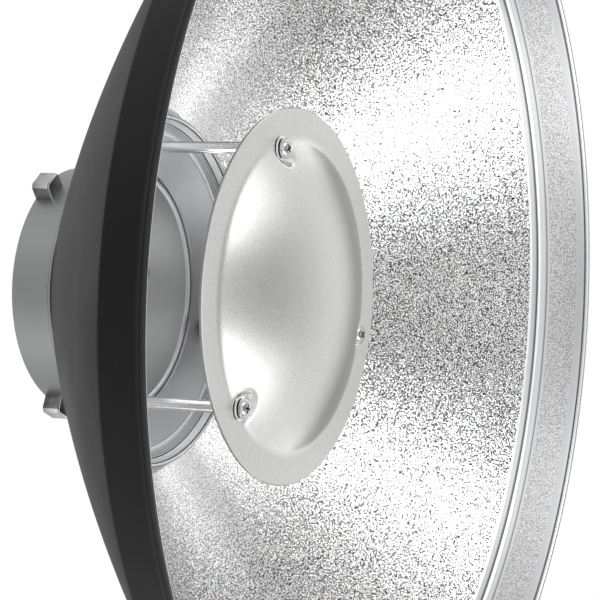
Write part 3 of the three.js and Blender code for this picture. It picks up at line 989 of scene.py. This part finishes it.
# Soft panels all round the studio: azimuth and elevation, sharpness, brightness.
PANELS = (
    (-180, 0, 10, 0.14), (-150, 0, 10, 0.24), (-120, 0, 10, 0.30), (-90, 0, 10, 0.08),
    (-60, 0, 10, 0.06), (-30, 0, 10, 0.36), (0, 0, 10, 0.54), (30, 0, 10, 0.40),
    (60, 0, 10, 0.12), (150, 0, 10, 0.16), (-105, 0, 12, 0.60),
    (-165, 42, 7, 0.60), (-120, 42, 7, 0.45), (-75, 42, 7, 0.08), (-30, 42, 7, 0.80),
    (15, 42, 7, 0.30), (60, 42, 7, 0.12), (105, 42, 7, 0.12), (150, 42, 7, 0.36),
    (-165, -42, 7, 0.75), (-120, -42, 7, 0.50), (-75, -42, 7, 0.12), (-30, -42, 7, 0.76),
    (15, -42, 7, 0.38), (60, -42, 7, 0.14), (105, -42, 7, 0.14), (150, -42, 7, 0.45),
    (0, 88, 6, 0.34), (0, -88, 6, 0.25),
)
# Area lights that face the dish: name, place, width, height, radiance.
SOFTBOXES = (
    ("softbox_high_left", (0.13, -1.1, 0.49), 0.42, 0.36, 3.3),
    ("softbox_high_right", (0.55, -1.1, 0.53), 0.48, 0.34, 1.1),
    ("softbox_low_left", (0.05, -1.1, -0.50), 0.44, 0.37, 4.3),
    ("softbox_low_right", (0.52, -1.1, -0.56), 0.46, 0.34, 1.3),
)
SOFTBOX_AIM = Vector((0, -0.1, 0))
CAMERA_PLACE = Vector((-0.8963, -0.5575, 0.0884))
CAMERA_AZIMUTH = math.radians(-63.296)
CAMERA_ELEVATION = math.radians(5.099)
CAMERA_CLIP = (0.05, 50)
# The lens and the sensor are in millimetres.
CAMERA_LENS = 147.96
CAMERA_SENSOR = 36


def floor():
    bm = bmesh.new()
    bmesh.ops.create_circle(bm, cap_ends=True, segments=128, radius=FLOOR_RADIUS)
    thing = to_object(bm, "floor", [FLOOR_COAT])
    thing.location.z = FLOOR_LEVEL
    thing.visible_glossy = False


def world():
    """White to the camera, and a ring of soft grey panels to everything else."""
    studio = bpy.data.worlds.new("studio")
    bpy.context.scene.world = studio
    studio.use_nodes = True
    studio.node_tree.nodes.clear()
    n = Graph(studio.node_tree)
    look = n.add("ShaderNodeTexCoord").outputs["Generated"]
    total = 0.0
    for azimuth, elevation, sharpness, brightness in PANELS:
        turn, rise = math.radians(azimuth), math.radians(elevation)
        middle = (math.cos(turn) * math.cos(rise), math.sin(turn) * math.cos(rise), math.sin(rise))
        facing = n.add("ShaderNodeVectorMath", {0: look, 1: middle}, operation="DOT_PRODUCT")
        away = n.maths("SUBTRACT", facing.outputs["Value"], 1.0)
        glow = n.maths("EXPONENT", n.maths("MULTIPLY", away, sharpness))
        total = n.maths("ADD", n.maths("MULTIPLY", glow, brightness), total)
    panels = n.add("ShaderNodeBackground", {"Color": total}).outputs[0]
    backdrop = n.add("ShaderNodeBackground", {"Color": WHITE}).outputs[0]
    seen = n.add("ShaderNodeLightPath").outputs["Is Camera Ray"]
    mixer = n.add("ShaderNodeMixShader", {0: seen, 1: panels, 2: backdrop})
    n.add("ShaderNodeOutputWorld", {"Surface": mixer.outputs[0]})


def softbox(name, place, width, height, radiance):
    """A soft area light, not seen by the camera."""
    light = bpy.data.lights.new(name, "AREA")
    light.shape = "RECTANGLE"
    light.size = width
    light.size_y = height
    light.energy = radiance * math.pi * width * height
    lamp = bpy.data.objects.new(name, light)
    lamp.location = place
    lamp.rotation_euler = (SOFTBOX_AIM - Vector(place)).to_track_quat("-Z", "Y").to_euler()
    lamp.visible_camera = False
    bpy.context.scene.collection.objects.link(lamp)


def camera():
    lens = bpy.data.cameras.new("camera")
    lens.lens = CAMERA_LENS
    lens.sensor_width = CAMERA_SENSOR
    lens.clip_start, lens.clip_end = CAMERA_CLIP
    thing = bpy.data.objects.new("camera", lens)
    right = Vector((math.cos(CAMERA_AZIMUTH), math.sin(CAMERA_AZIMUTH), 0))
    back = Vector((math.sin(CAMERA_AZIMUTH) * math.cos(CAMERA_ELEVATION),
                   -math.cos(CAMERA_AZIMUTH) * math.cos(CAMERA_ELEVATION),
                   math.sin(CAMERA_ELEVATION)))
    pose = Matrix((right, back.cross(right), back)).transposed().to_4x4()
    pose.translation = CAMERA_PLACE
    thing.matrix_world = pose
    bpy.context.scene.collection.objects.link(thing)
    bpy.context.scene.camera = thing


dish()
collar()
for index, clock in enumerate(LUG_ANGLES, 1):
    lug(index, clock)
    lug_screw(index, clock)
clamp_ring()
deflector()
for index, middle in enumerate(ROD_CENTRES, 1):
    rod(index, middle)
    nut(index, middle)
    washer("rear", index, middle, ZINC, "plated_steel")
    washer("front", index, middle, CHROME, "chrome")
    threaded_screw(index, middle)
floor()
world()
for settings in SOFTBOXES:
    softbox(*settings)
camera()
bpy.context.scene.view_settings.view_transform = "Standard"
